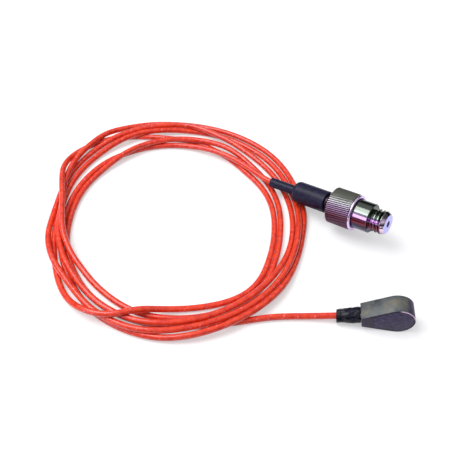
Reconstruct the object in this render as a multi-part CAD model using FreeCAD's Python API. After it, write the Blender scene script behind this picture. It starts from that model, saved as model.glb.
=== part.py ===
import FreeCAD, Part
import math
import os

# Miniature teardrop vibration sensor with a built-in thin coaxial cable and a small
# screw coupling, lying as it was set down: the head on its round side, the cable wound
# in a loose coil of nearly six turns, the coupling resting across the coil.
# Millimetres. X runs along the head towards its round end, -Y is the side of the
# mounting face, +Z is up, and the origin is on the table under the middle of the head.

V = FreeCAD.Vector
X_AXIS = V(1, 0, 0)
Y_AXIS = V(0, 1, 0)
Z_AXIS = V(0, 0, 1)

# How far a cutting shape runs past what it cuts
CUT_BEYOND = 1.0

# Sensor head
HEAD_LENGTH = 9.7
HEAD_ROUND_DIAMETER = 6.3
HEAD_NARROW_HEIGHT = 2.4
HEAD_DEPTH = 3.7
HEAD_WALL = 0.4
HEAD_ROOF = 0.4
HEAD_PITCH = 9.5
BASE_THICKNESS = 0.5
BASE_START = 2.1
BASE_SEAM = 0.05
CABLE_BLOCK_LENGTH = 2.45

# Sensing stack on the shear post
POST_DIAMETER = 1.2
POST_HEIGHT = 2.35
STACK_GAP = 0.02
CRYSTAL_WALL = 0.63
CRYSTAL_HEIGHT = 1.5
MASS_WALL = 0.93
PRELOAD_WALL = 0.28
PRELOAD_HEIGHT = 1.1
STACK_LIFT = 0.45

# Amplifier board
BOARD_LENGTH = 1.25
BOARD_WIDTH = 2.3
BOARD_THICKNESS = 0.25
BOARD_MARGIN = 0.15
CHIP_LENGTH = 0.7
CHIP_WIDTH = 0.8
CHIP_HEIGHT = 0.35
CHIP_INSET = 0.1
RESISTOR_LENGTH = 0.6
RESISTOR_WIDTH = 0.3
RESISTOR_HEIGHT = 0.25
RESISTOR_INSET = 0.2
TERMINAL_DIAMETER = 0.4

# Cable and its exit from the head
CABLE_DIAMETER = 1.2
DIELECTRIC_DIAMETER = 0.7
CORE_DIAMETER = 0.25
CORE_LENGTH = 0.7
SLIP_GAP = 0.03
FERRULE_WALL = 0.32
FERRULE_LENGTH = 3.4
FERRULE_INSERTION = 0.9
BOOT_LENGTH = 4.5
BOOT_DEPTHS = (3.5, 3.2, 3.0, 2.5)
BOOT_HEIGHTS = (2.56, 2.6, 2.6, 2.36)

# Cable coil: the middle of its ring and the reach of its innermost lane.
# A lane is one cable pitch outwards, a layer one pitch up.
COIL_X = -41.4
COIL_Y = 22.6
COIL_RADIUS = 22.3
COIL_FLAT_SIDE = 0.8
COIL_PITCH = 1.7
COIL_FLOOR_GAP = 0.02
COIL_SPAN = 26
COIL_STRAIGHT_END = 1.2
CABLE_FACETS = 6
# One list for each turn, clockwise from above: bearing in degrees, lane, layer.
COIL_TURNS = (
    (
        (-66, 4.9, 0), (-90, 3.6, 0), (-112, 2.5, 0), (-135, 0.95, 0), (-152, 0.1, 0),
        (180, -0.65, 0), (148, -0.2, 0), (136, 0.0, 0.3), (125, 0.45, 0.85), (112, 1.1, 1),
        (90, 1.85, 1), (66, 2.0, 1), (45, 1.45, 0), (20, 1.15, 0), (0, 1.05, 0),
    ),
    (
        (-20, 1.8, 0), (-45, 3.6, 0), (-90, 2.2, 0), (-120, 0.1, 0), (-135, -0.4, 0.5),
        (-148, -0.2, 1), (-165, 0.2, 1.7), (180, 0.6, 2.05), (165, 2.6, 2.05),
        (156, 4.7, 2.0), (148, 6.1, 1.3), (139, 6.95, 0.1), (130, 7.0, 0), (118, 5.5, 0),
        (96, 2.9, 0), (84, 2.35, 0), (72, 1.2, 0), (60, 0.4, 0), (45, -0.4, 0),
        (20, -0.1, 0), (0, 0.0, 0),
    ),
    (
        (-20, 0.75, 0), (-45, 2.5, 0), (-78, 1.0, 0), (-88, 1.1, 0.7), (-97, 2.6, 2.05),
        (-110, 5.2, 2.0), (-120, 5.2, 1), (-128, 4.6, 0.2), (-138, 3.6, 0), (-152, 2.3, 0),
        (-166, 1.75, 0), (180, 1.4, 0), (150, 2.9, 0), (135, 3.8, 0), (124, 4.3, 0.6),
        (112, 4.7, 1), (100, 4.85, 0.7), (90, 5.1, 0.2), (84, 5.2, 0), (45, 4.8, 0),
        (20, 4.15, 0), (10, 4.2, 0.05), (3, 4.15, 0.5), (-6, 4.1, 1),
    ),
    (
        (-20, 4.5, 1), (-45, 5.05, 1), (-75, 5.1, 1), (-90, 5.4, 1), (-112, 4.35, 1),
        (-135, 2.75, 1), (-152, 2.85, 1), (-165, 2.75, 0.6), (180, 2.4, 0), (150, 4.2, 0),
        (135, 5.3, 0), (128, 5.5, 0.5), (120, 5.7, 1), (90, 5.95, 1.05), (75, 4.4, 1.1),
        (60, 3.6, 0.6), (48, 3.35, 0), (20, 3.05, 0), (4, 3.1, 0), (-12, 3.3, 0.1),
    ),
    (
        (-30, 3.6, 0.95), (-45, 3.75, 1), (-90, 3.95, 1), (-112, 2.85, 1), (-135, 1.4, 1),
        (-152, 1.1, 1), (180, 1.0, 1), (165, 2.4, 1), (150, 4.6, 1.1), (135, 6.3, 1.1),
        (128, 7.1, 1.1), (122, 7.7, 0.8), (112, 7.75, 0.1), (90, 7.0, 0), (45, 6.2, 0),
        (20, 5.25, 0), (10, 5.25, 0), (4, 5.15, 0), (-5, 4.85, 0),
    ),
    (
        (-20, 5.1, 0), (-31, 5.75, 0.5), (-41, 6.1, 1), (-57, 6.25, 1.05), (-72, 6.4, 0.8),
        (-82, 6.25, 0.3), (-90, 5.8, 0), (-112, 4.2, 0), (-135, 2.1, 0), (-152, 1.15, 0),
        (180, 0.35, 0), (150, 0.85, 0), (135, 1.2, 0), (100, 1.1, 0), (86, 0.8, 0.15),
        (76, 0.3, 0.75), (66, 0.0, 1), (54, -0.1, 1.2), (46, -0.1, 1.3),
    ),
)

# Free stretch of the cable between the head and the coil: two chosen points
LEAD_POINTS = (V(-9.9, 0.0, 0.83), V(-18.5, -0.5, 0.62))
LEAD_LAST_RUN = 4.5

# Connector: where its small sleeve starts, and how it lies
CONNECTOR_X = -20.21
CONNECTOR_Y = 33.24
CONNECTOR_Z = 2.7
CONNECTOR_START = V(CONNECTOR_X, CONNECTOR_Y, CONNECTOR_Z)
CONNECTOR_YAW = -32.2
CONNECTOR_PITCH = 9.0
CONNECTOR_LEAD_RUNS = (2.5, 1.35)
CONNECTOR_LEAD_INSERTION = 1.2

# Shrink sleeves
SMALL_SLEEVE_DIAMETER = 2.1
SMALL_SLEEVE_LENGTH = 6.2
SMALL_SLEEVE_SHOWN = 5.6
LARGE_SLEEVE_DIAMETER = 4.55
LARGE_SLEEVE_LENGTH = 8.5
LARGE_SLEEVE_ROUND = 0.9
LARGE_SLEEVE_NECK = 1.0
SLEEVE_GAP = 0.03

# Crimp ferrule and plug body
CRIMP_WALL = 0.6
CRIMP_START = 7.7
CRIMP_SHOWN = 0.5
BARB_DIAMETER = 2.44
BARB_START = 9.0
STEM_DIAMETER = 3.9
SHOULDER_DIAMETER = 4.72
SHOULDER_LENGTH = 1.0
SPIGOT_DIAMETER = 3.0
SPIGOT_LENGTH = 0.2
PLUG_BORE = 1.9
INSULATOR_GAP = 0.02
PIN_DIAMETER = 0.54
PIN_REACH = 2.3
PIN_START = 0.2
WASHER_INNER = 3.1
WASHER_OUTER = 4.6
WASHER_THICKNESS = 0.3
WASHER_GAP = 0.05

# Coupling nut
NUT_START = 15.0
NUT_LENGTH = 6.05
NUT_DIAMETER = 7.5
NUT_REAR_CHAMFER = 0.8
NUT_LIP = 1.2
NUT_LIP_GAP = 0.08
NUT_SHOULDER_GAP = 0.1
NUT_RIM_DEPTH = 0.4
NUT_RIM_GAP = 0.1
NUT_RIM_CHAMFER = 0.2

# Threaded adaptor: a standard 10-32 thread on both ends
THREAD_MAJOR = 4.826
THREAD_GAP = 0.05
ADAPTOR_GAP = 0.1
UNDERCUT_DIAMETER = 4.0
UNDERCUT_LENGTH = 0.55
MIDDLE_DIAMETER = 6.0
MIDDLE_LENGTH = 3.75
MIDDLE_CHAMFER = 0.15
NECK_LENGTH = 0.7
NOSE_THREAD_LENGTH = 1.9
NOSE_CHAMFER_LENGTH = 0.75
NOSE_FACE_DIAMETER = 3.9
ADAPTOR_BORE = 2.9
NOSE_WALL = 0.6
NOSE_HOLE = 1.3
CONTACT_DIAMETER = 0.9
CONTACT_BORE = 0.62
CONTACT_REAR_DEPTH = 2.6
CONTACT_FRONT_DEPTH = 3.5
CONTACT_SETBACK = 0.25
BEAD_GAP = 0.03
REAR_BEAD_SETBACK = 0.45
REAR_BEAD_LENGTH = 3.2
FRONT_BEAD_LENGTH = 3.1

# Sizes that follow from the ones above
HEAD_RADIUS = HEAD_ROUND_DIAMETER / 2
HEAD_CENTRE = HEAD_LENGTH - HEAD_RADIUS
NARROW_HALF = HEAD_NARROW_HEIGHT / 2
FLANK_REACH = math.hypot(HEAD_CENTRE, NARROW_HALF)
FLANK = math.asin(HEAD_RADIUS / FLANK_REACH) - math.atan2(NARROW_HALF, HEAD_CENTRE)
FRONT_Y = -HEAD_DEPTH / 2
BASE_Y = FRONT_Y + BASE_THICKNESS
CABLE_RADIUS = CABLE_DIAMETER / 2
FERRULE_BORE = CABLE_DIAMETER + 2 * SLIP_GAP
FERRULE_DIAMETER = FERRULE_BORE + 2 * FERRULE_WALL
PITCH = math.radians(HEAD_PITCH)
HEAD_X_MAX = HEAD_CENTRE * math.cos(PITCH) + HEAD_RADIUS
HEAD_X_MIN = -BOOT_LENGTH * math.cos(PITCH) - BOOT_HEIGHTS[-1] / 2 * math.sin(PITCH)
HEAD_ORIGIN = V(-(HEAD_X_MAX + HEAD_X_MIN) / 2, 0, HEAD_RADIUS - HEAD_CENTRE * math.sin(PITCH))

NUT_END = NUT_START + NUT_LENGTH
LARGE_SLEEVE_END = SMALL_SLEEVE_SHOWN + LARGE_SLEEVE_LENGTH
CRIMP_END = LARGE_SLEEVE_END + CRIMP_SHOWN
CRIMP_BORE = BARB_DIAMETER + 2 * SLEEVE_GAP
CRIMP_DIAMETER = CRIMP_BORE + 2 * CRIMP_WALL
SHOULDER_START = NUT_START + NUT_LIP + NUT_SHOULDER_GAP
SHOULDER_END = SHOULDER_START + SHOULDER_LENGTH
WASHER_START = SHOULDER_END + WASHER_GAP
ADAPTOR_START = WASHER_START + WASHER_THICKNESS + ADAPTOR_GAP
MIDDLE_START = NUT_END - NUT_RIM_DEPTH + NUT_RIM_GAP
NECK_START = MIDDLE_START + MIDDLE_LENGTH
NOSE_START = NECK_START + NECK_LENGTH
NOSE_CHAMFER_START = NOSE_START + NOSE_THREAD_LENGTH
NOSE_END = NOSE_CHAMFER_START + NOSE_CHAMFER_LENGTH
CONTACT_START = ADAPTOR_START + REAR_BEAD_SETBACK + BEAD_GAP
CONTACT_END = NOSE_END - NOSE_WALL - CONTACT_SETBACK
PIN_END = ADAPTOR_START + PIN_REACH


def tube_x(start, end, outer, inner=0.0):
    """A cylinder along X, hollow if it has an inner diameter."""
    solid = Part.makeCylinder(outer / 2, end - start, V(start, 0, 0), X_AXIS)
    if inner:
        bore_start = V(start - CUT_BEYOND, 0, 0)
        bore = Part.makeCylinder(inner / 2, end - start + 2 * CUT_BEYOND, bore_start, X_AXIS)
        solid = solid.cut(bore)
    return solid


def turned(points):
    """A solid turned about X from (x, radius) points, closed along its own outline."""
    outline = [V(x, 0, r) for x, r in points]
    wire = Part.makePolygon(outline + [outline[0]])
    return Part.Face(wire).revolve(V(0, 0, 0), X_AXIS, 360)


def ring_y(outer, inner, low, high):
    """A ring about the post's axis, which runs along Y."""
    foot = V(HEAD_CENTRE, low, 0)
    ring = Part.makeCylinder(outer, high - low, foot, Y_AXIS)
    if inner:
        ring = ring.cut(Part.makeCylinder(inner, high - low, foot, Y_AXIS))
    return ring


# Sensor head

def drop(radius, start, low_y, high_y):
    """A teardrop prism: a round end of this radius and two flat flanks back to x = start."""
    sine = math.sin(FLANK)
    cosine = math.cos(FLANK)
    half = (radius + (start - HEAD_CENTRE) * sine) / cosine
    touch_x = HEAD_CENTRE - radius * sine
    touch_z = radius * cosine
    a = V(start, low_y, -half)
    b = V(start, low_y, half)
    c = V(touch_x, low_y, touch_z)
    d = V(HEAD_CENTRE + radius, low_y, 0)
    e = V(touch_x, low_y, -touch_z)
    edges = [Part.LineSegment(a, b).toShape(), Part.LineSegment(b, c).toShape()]
    edges.append(Part.Arc(c, d, e).toShape())
    edges.append(Part.LineSegment(e, a).toShape())
    return Part.Face(Part.Wire(edges)).extrude(V(0, high_y - low_y, 0))


def sensor_housing():
    shell = drop(HEAD_RADIUS, 0, BASE_Y, HEAD_DEPTH / 2)
    heel = drop(HEAD_RADIUS, 0, FRONT_Y, BASE_Y)
    beyond_at = V(BASE_START, FRONT_Y - CUT_BEYOND, -HEAD_LENGTH)
    beyond = Part.makeBox(HEAD_LENGTH, HEAD_DEPTH, 2 * HEAD_LENGTH, beyond_at)
    heel = heel.cut(beyond)
    cavity = drop(HEAD_RADIUS - HEAD_WALL, CABLE_BLOCK_LENGTH, BASE_Y, HEAD_DEPTH / 2 - HEAD_ROOF)
    ferrule_hole = tube_x(-CUT_BEYOND, FERRULE_INSERTION + SLIP_GAP, FERRULE_DIAMETER + 2 * SLIP_GAP)
    wire_hole = tube_x(0, CABLE_BLOCK_LENGTH + CUT_BEYOND, DIELECTRIC_DIAMETER + 2 * SLIP_GAP)
    return shell.fuse(heel).removeSplitter().cut(cavity).cut(ferrule_hole).cut(wire_hole)


def mounting_base():
    return drop(HEAD_RADIUS, BASE_START + BASE_SEAM, FRONT_Y, BASE_Y)


def sensing_stack():
    """The post on the base, and round it the crystal, the mass and the preload ring."""
    low = BASE_Y + STACK_LIFT
    crystal_in = POST_DIAMETER / 2 + STACK_GAP
    crystal_out = crystal_in + CRYSTAL_WALL
    mass_in = crystal_out + STACK_GAP
    mass_out = mass_in + MASS_WALL
    preload_in = mass_out + STACK_GAP
    preload_out = preload_in + PRELOAD_WALL
    preload_low = low + (CRYSTAL_HEIGHT - PRELOAD_HEIGHT) / 2
    return {
        "shear_post": ring_y(POST_DIAMETER / 2, 0, BASE_Y, BASE_Y + POST_HEIGHT),
        "crystal_ring": ring_y(crystal_out, crystal_in, low, low + CRYSTAL_HEIGHT),
        "seismic_mass": ring_y(mass_out, mass_in, low, low + CRYSTAL_HEIGHT),
        "preload_ring": ring_y(preload_out, preload_in, preload_low, preload_low + PRELOAD_HEIGHT),
    }


def amplifier():
    """The little board on the base, its chip and resistor, and the post for the core wire."""
    start = CABLE_BLOCK_LENGTH + BOARD_MARGIN
    top = BASE_Y + BOARD_THICKNESS
    middle = start + BOARD_LENGTH / 2
    board = Part.makeBox(BOARD_LENGTH, BOARD_THICKNESS, BOARD_WIDTH, V(start, BASE_Y, -BOARD_WIDTH / 2))
    chip_at = V(middle - CHIP_LENGTH / 2, top, CHIP_INSET - BOARD_WIDTH / 2)
    chip = Part.makeBox(CHIP_LENGTH, CHIP_HEIGHT, CHIP_WIDTH, chip_at)
    resistor_z = BOARD_WIDTH / 2 - RESISTOR_WIDTH - RESISTOR_INSET
    resistor_at = V(middle - RESISTOR_LENGTH / 2, top, resistor_z)
    resistor = Part.makeBox(RESISTOR_LENGTH, RESISTOR_HEIGHT, RESISTOR_WIDTH, resistor_at)
    terminal_top = -CORE_DIAMETER / 2 - SLIP_GAP
    terminal_at = V(CABLE_BLOCK_LENGTH + BOARD_MARGIN + CORE_LENGTH / 2, top, 0)
    terminal = Part.makeCylinder(TERMINAL_DIAMETER / 2, terminal_top - top, terminal_at, Y_AXIS)
    return {
        "amplifier_board": board,
        "amplifier_chip": chip,
        "bias_resistor": resistor,
        "core_terminal": terminal,
    }


def ellipse_wire(x, depth, height):
    """An upright ellipse square to X, wider along Y."""
    curve = Part.Ellipse(V(x, depth / 2, 0), V(x, 0, height / 2), V(x, 0, 0))
    return Part.Wire(curve.toShape())


def strain_relief_boot():
    steps = len(BOOT_DEPTHS) - 1
    places = [-BOOT_LENGTH * i / steps for i in range(steps + 1)]
    sections = [ellipse_wire(x, d, h) for x, d, h in zip(places, BOOT_DEPTHS, BOOT_HEIGHTS)]
    body = Part.makeLoft(sections, True, True)
    ferrule_end = FERRULE_INSERTION - FERRULE_LENGTH
    cable_hole = tube_x(-BOOT_LENGTH - CUT_BEYOND, CUT_BEYOND, CABLE_DIAMETER + 2 * SLIP_GAP)
    ferrule_hole = tube_x(ferrule_end - SLIP_GAP, CUT_BEYOND, FERRULE_DIAMETER + 2 * SLIP_GAP)
    return body.cut(cable_hole).cut(ferrule_hole)


def cable_exit():
    """The ferrule in the head, and the stripped end of the cable inside it."""
    start = FERRULE_INSERTION
    core_start = CABLE_BLOCK_LENGTH + BOARD_MARGIN
    return {
        "cable_ferrule": tube_x(start - FERRULE_LENGTH, start, FERRULE_DIAMETER, FERRULE_BORE),
        "dielectric_tail": tube_x(start, core_start, DIELECTRIC_DIAMETER),
        "core_wire": tube_x(core_start, core_start + CORE_LENGTH, CORE_DIAMETER),
        "strain_relief_boot": strain_relief_boot(),
    }


def place_head(shape):
    """Tips a head piece nose down towards the cable and stands it on the table."""
    placed = shape.copy()
    placed.rotate(V(0, 0, 0), Y_AXIS, -HEAD_PITCH)
    placed.translate(HEAD_ORIGIN)
    return placed


def head_point(x):
    """A point of the head's axis, in the part's frame."""
    return HEAD_ORIGIN + V(x * math.cos(PITCH), 0, x * math.sin(PITCH))


# Connector, built along X from the start of its small sleeve

def ferrule_sleeve():
    """The large shrink sleeve, drawn in round the small one at its rear."""
    outer = LARGE_SLEEVE_DIAMETER / 2
    start = SMALL_SLEEVE_SHOWN
    neck = SMALL_SLEEVE_DIAMETER / 2 + SLEEVE_GAP
    inside = CRIMP_DIAMETER / 2 + SLEEVE_GAP
    lean = LARGE_SLEEVE_ROUND * (1 - math.sqrt(0.5))
    return turned([
        (start, neck),
        (start, outer - LARGE_SLEEVE_ROUND),
        (start + lean, outer - lean),
        (start + LARGE_SLEEVE_ROUND, outer),
        (LARGE_SLEEVE_END, outer),
        (LARGE_SLEEVE_END, inside),
        (CRIMP_START, inside),
        (start + LARGE_SLEEVE_NECK, neck),
    ])


def plug_body():
    """The fixed inner body: barb under the crimp, stem through the nut, shoulder inside it."""
    bore = PLUG_BORE / 2
    return turned([
        (BARB_START, bore),
        (BARB_START, BARB_DIAMETER / 2),
        (CRIMP_END, BARB_DIAMETER / 2),
        (CRIMP_END, STEM_DIAMETER / 2),
        (SHOULDER_START, STEM_DIAMETER / 2),
        (SHOULDER_START, SHOULDER_DIAMETER / 2),
        (SHOULDER_END, SHOULDER_DIAMETER / 2),
        (SHOULDER_END, SPIGOT_DIAMETER / 2),
        (SHOULDER_END + SPIGOT_LENGTH, SPIGOT_DIAMETER / 2),
        (SHOULDER_END + SPIGOT_LENGTH, bore),
    ])


def coupling_nut():
    """The turning nut: rear lip on the stem, plain thread bore, counterbored front rim."""
    outer = NUT_DIAMETER / 2
    lip = STEM_DIAMETER / 2 + NUT_LIP_GAP
    thread = THREAD_MAJOR / 2 + THREAD_GAP
    rim = MIDDLE_DIAMETER / 2 + NUT_RIM_GAP
    return turned([
        (NUT_START, lip),
        (NUT_START, outer - NUT_REAR_CHAMFER),
        (NUT_START + NUT_REAR_CHAMFER, outer),
        (NUT_END - NUT_RIM_CHAMFER, outer),
        (NUT_END, outer - NUT_RIM_CHAMFER),
        (NUT_END, rim),
        (NUT_END - NUT_RIM_DEPTH, rim),
        (NUT_END - NUT_RIM_DEPTH, thread),
        (NUT_START + NUT_LIP, thread),
        (NUT_START + NUT_LIP, lip),
    ])


def adaptor_body():
    """Threaded both ends, smooth in the middle, with a flat pierced nose."""
    bore = ADAPTOR_BORE / 2
    major = THREAD_MAJOR / 2
    middle = MIDDLE_DIAMETER / 2
    undercut = UNDERCUT_DIAMETER / 2
    return turned([
        (ADAPTOR_START, bore),
        (ADAPTOR_START, major),
        (MIDDLE_START - UNDERCUT_LENGTH, major),
        (MIDDLE_START - UNDERCUT_LENGTH, undercut),
        (MIDDLE_START, undercut),
        (MIDDLE_START, middle),
        (NECK_START - MIDDLE_CHAMFER, middle),
        (NECK_START, middle - MIDDLE_CHAMFER),
        (NECK_START, undercut),
        (NOSE_START, undercut),
        (NOSE_START, major),
        (NOSE_CHAMFER_START, major),
        (NOSE_END, NOSE_FACE_DIAMETER / 2),
        (NOSE_END, NOSE_HOLE / 2),
        (NOSE_END - NOSE_WALL, NOSE_HOLE / 2),
        (NOSE_END - NOSE_WALL, bore),
    ])


def adaptor_contact():
    """The socket through the adaptor, bored blind from both ends."""
    rear = tube_x(CONTACT_START, CONTACT_START + CONTACT_REAR_DEPTH, CONTACT_BORE)
    front = tube_x(CONTACT_END - CONTACT_FRONT_DEPTH, CONTACT_END, CONTACT_BORE)
    return tube_x(CONTACT_START, CONTACT_END, CONTACT_DIAMETER).cut(rear).cut(front)


def connector_pieces():
    bead = ADAPTOR_BORE - 2 * BEAD_GAP
    bead_hole = CONTACT_DIAMETER + 2 * BEAD_GAP
    rear_bead = ADAPTOR_START + REAR_BEAD_SETBACK
    front_bead = NOSE_END - NOSE_WALL - BEAD_GAP
    insulator = PLUG_BORE - 2 * INSULATOR_GAP
    insulator_end = SHOULDER_END + SPIGOT_LENGTH
    pin_hole = PIN_DIAMETER + 2 * INSULATOR_GAP
    return {
        "cable_tail": tube_x(CONNECTOR_LEAD_INSERTION, BARB_START, CABLE_DIAMETER),
        "cable_sleeve": tube_x(0, SMALL_SLEEVE_LENGTH, SMALL_SLEEVE_DIAMETER, CABLE_DIAMETER + 2 * SLIP_GAP),
        "ferrule_sleeve": ferrule_sleeve(),
        "crimp_ferrule": tube_x(CRIMP_START, CRIMP_END, CRIMP_DIAMETER, CRIMP_BORE),
        "plug_body": plug_body(),
        "plug_insulator": tube_x(BARB_START, insulator_end, insulator, pin_hole),
        "plug_pin": tube_x(BARB_START + PIN_START, PIN_END, PIN_DIAMETER),
        "sealing_washer": tube_x(WASHER_START, WASHER_START + WASHER_THICKNESS, WASHER_OUTER, WASHER_INNER),
        "coupling_nut": coupling_nut(),
        "adaptor_body": adaptor_body(),
        "adaptor_rear_bead": tube_x(rear_bead, rear_bead + REAR_BEAD_LENGTH, bead, bead_hole),
        "adaptor_front_bead": tube_x(front_bead - FRONT_BEAD_LENGTH, front_bead, bead, bead_hole),
        "adaptor_contact": adaptor_contact(),
    }


def place_connector(shape):
    placed = shape.copy()
    placed.rotate(V(0, 0, 0), Y_AXIS, -CONNECTOR_PITCH)
    placed.rotate(V(0, 0, 0), Z_AXIS, CONNECTOR_YAW)
    placed.translate(CONNECTOR_START)
    return placed


def connector_axis():
    pitch = math.radians(CONNECTOR_PITCH)
    yaw = math.radians(CONNECTOR_YAW)
    return V(math.cos(pitch) * math.cos(yaw), math.cos(pitch) * math.sin(yaw), math.sin(pitch))


# Cable

def coil_marks():
    """The chosen marks as one list along the cable: turned angle, lane, layer."""
    marks = []
    for turn in COIL_TURNS:
        for bearing, lane, layer in turn:
            angle = -bearing
            while marks and angle <= marks[-1][0]:
                angle += 360
            marks.append((angle, lane, layer))
    return marks


def eased(marks, column, angle):
    """A smooth value between the marks that never swings past them."""
    xs = [m[0] for m in marks]
    ys = [m[column] for m in marks]
    widths = [b - a for a, b in zip(xs, xs[1:])]
    rates = [(b - a) / w for a, b, w in zip(ys, ys[1:], widths)]
    slopes = [rates[0]]
    for i in range(1, len(rates)):
        before, after = rates[i - 1], rates[i]
        if before * after <= 0:
            slopes.append(0.0)
            continue
        one = 2 * widths[i] + widths[i - 1]
        two = widths[i] + 2 * widths[i - 1]
        slopes.append((one + two) / (one / before + two / after))
    slopes.append(rates[-1])
    i = 0
    while i < len(widths) - 1 and angle > xs[i + 1]:
        i += 1
    t = (angle - xs[i]) / widths[i]
    start = ys[i] * (1 + 2 * t) * (1 - t) ** 2 + slopes[i] * widths[i] * t * (1 - t) ** 2
    end = ys[i + 1] * t * t * (3 - 2 * t) + slopes[i + 1] * widths[i] * t * t * (t - 1)
    return start + end


def coil_point(marks, angle):
    lane = eased(marks, 1, angle)
    layer = eased(marks, 2, angle)
    turn = math.radians(angle)
    flat = COIL_FLAT_SIDE * ((1 - math.cos(turn)) / 2) ** 3
    reach = COIL_RADIUS - flat + lane * COIL_PITCH
    height = CABLE_RADIUS + COIL_FLOOR_GAP + layer * COIL_PITCH
    return V(COIL_X + reach * math.cos(turn), COIL_Y - reach * math.sin(turn), height)


def coil_heading(marks, angle):
    step = 0.5
    low = max(angle - step, marks[0][0])
    high = min(angle + step, marks[-1][0])
    return (coil_point(marks, high) - coil_point(marks, low)).normalize()


def bend(start, corner, end):
    """The arc from start to end that leaves towards the corner, or a line if it is straight."""
    middle = (start + end) * 0.5
    rise = (corner - middle).Length
    half = (end - start).Length / 2
    if rise < 1e-4:
        return Part.LineSegment(start, end).toShape()
    half_turn = math.atan2(rise, half)
    top = middle + (corner - middle) * (math.tan(half_turn / 2) / math.tan(half_turn))
    return Part.Arc(start, top, end).toShape()


def biarc(start, heading, end, heading_at_end):
    """Two tangent arcs between two points with a heading at each."""
    gap = end - start
    total = heading + heading_at_end
    along = gap.dot(total)
    spread = 2 * (1 - heading.dot(heading_at_end))
    if spread < 1e-9:
        reach = gap.dot(gap) / (2 * along)
    else:
        reach = (math.sqrt(along * along + spread * gap.dot(gap)) - along) / spread
    first = start + heading * reach
    second = end - heading_at_end * reach
    middle = (first + second) * 0.5
    return [bend(start, first, middle), bend(middle, second, end)]


def swept(edges, start, heading):
    """The cable along these edges, with a many-sided section inside its round one."""
    side = heading.cross(Z_AXIS).normalize() * CABLE_RADIUS
    up = side.cross(heading)
    turns = [2 * math.pi * (i + 0.5) / CABLE_FACETS for i in range(CABLE_FACETS)]
    corners = [start + side * math.cos(t) + up * math.sin(t) for t in turns]
    section = Part.makePolygon(corners + [corners[0]])
    return Part.Wire(edges).makePipeShell([section], True, False)


def coil_ends():
    marks = coil_marks()
    first, last = marks[0][0], marks[-1][0]
    start, heading_in = coil_point(marks, first), coil_heading(marks, first)
    end, heading_out = coil_point(marks, last), coil_heading(marks, last)
    begin = start - heading_in * COIL_STRAIGHT_END
    finish = end + heading_out * COIL_STRAIGHT_END
    return begin, heading_in, finish, heading_out


def coil_angles(marks):
    """The marks' own angles, with more between them where they are far apart."""
    angles = [marks[0][0]]
    for mark in marks[1:]:
        width = mark[0] - angles[-1]
        count = math.ceil(width / COIL_SPAN)
        angles += [mark[0] - width * (count - i) / count for i in range(1, count + 1)]
    return angles


def cable_coil():
    """The whole coil as one tube, with its least gap to itself measured along the way."""
    marks = coil_marks()
    angles = coil_angles(marks)
    places = [(coil_point(marks, a), coil_heading(marks, a)) for a in angles]
    begin, heading_in, finish, heading_out = coil_ends()
    edges = [Part.LineSegment(begin, places[0][0]).toShape()]
    for (a, ha), (b, hb) in zip(places, places[1:]):
        edges += biarc(a, ha, b, hb)
    edges.append(Part.LineSegment(places[-1][0], finish).toShape())
    print("coil turns %.2f, bends %d" % ((angles[-1] - angles[0]) / 360, 2 * len(angles) - 2))
    print("coil least gap to itself %.3f mm" % (least_gap(edges) - CABLE_DIAMETER))
    print("coil tightest radius %.2f mm" % tightest(edges))
    return swept(edges, begin, heading_in), sum(e.Length for e in edges)


def least_gap(edges):
    """The least distance between points of the line that are over half a turn apart along it."""
    spacing = 0.4
    points = []
    for edge in edges:
        count = max(2, round(edge.Length / spacing))
        points += edge.discretize(count)[:-1]
    far = round(math.pi * COIL_RADIUS / spacing)
    cells = {}
    least = 1e9
    for i, p in enumerate(points):
        key = (math.floor(p.x / 2), math.floor(p.y / 2))
        for dx in (-1, 0, 1):
            for dy in (-1, 0, 1):
                for j in cells.get((key[0] + dx, key[1] + dy), ()):
                    if i - j > far:
                        least = min(least, (points[j] - p).Length)
        cells.setdefault(key, []).append(i)
    return least


def tightest(edges):
    return min(e.Curve.Radius for e in edges if hasattr(e.Curve, "Radius"))


def free_tube(points, name):
    """A tube of straight runs joined by tangent arcs, as large as their runs allow."""
    edges = []
    at = points[0]
    radii = []
    for before, corner, after in zip(points, points[1:], points[2:]):
        back = before - corner
        on = after - corner
        turn = math.pi - back.getAngle(on)
        cut = 0.45 * min(back.Length, on.Length)
        radii.append(cut / math.tan(turn / 2))
        start = corner + back.normalize() * cut
        end = corner + on.normalize() * cut
        edges.append(Part.LineSegment(at, start).toShape())
        edges.append(bend(start, corner, end))
        at = end
    edges.append(Part.LineSegment(at, points[-1]).toShape())
    print(name, "radii", " ".join("%.1f" % r for r in radii))
    heading = (points[1] - points[0]).normalize()
    return swept(edges, points[0], heading), sum(e.Length for e in edges)


def cables():
    begin, heading_in, finish, heading_out = coil_ends()
    lead_end = begin - heading_in * LEAD_LAST_RUN
    lead = [head_point(FERRULE_INSERTION)] + list(LEAD_POINTS) + [lead_end, begin]
    axis = connector_axis()
    tail = CONNECTOR_START + axis * CONNECTOR_LEAD_INSERTION
    leaving = finish + heading_out * CONNECTOR_LEAD_RUNS[0]
    arriving = CONNECTOR_START - axis * CONNECTOR_LEAD_RUNS[1]
    coil, coil_length = cable_coil()
    sensor_lead, lead_length = free_tube(lead, "sensor lead")
    connector_lead, other_length = free_tube([finish, leaving, arriving, tail], "connector lead")
    section = CABLE_FACETS / 2 * math.sin(2 * math.pi / CABLE_FACETS) * CABLE_RADIUS ** 2
    tubes = {"sensor_lead": sensor_lead, "cable_coil": coil, "connector_lead": connector_lead}
    lengths = {"sensor_lead": lead_length, "cable_coil": coil_length, "connector_lead": other_length}
    for name, tube in tubes.items():
        print(name, "length %.1f mm, volume over section by length %.4f"
              % (lengths[name], tube.Volume / (section * lengths[name])))
    print("cable length %.1f mm" % sum(lengths.values()))
    return tubes


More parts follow.
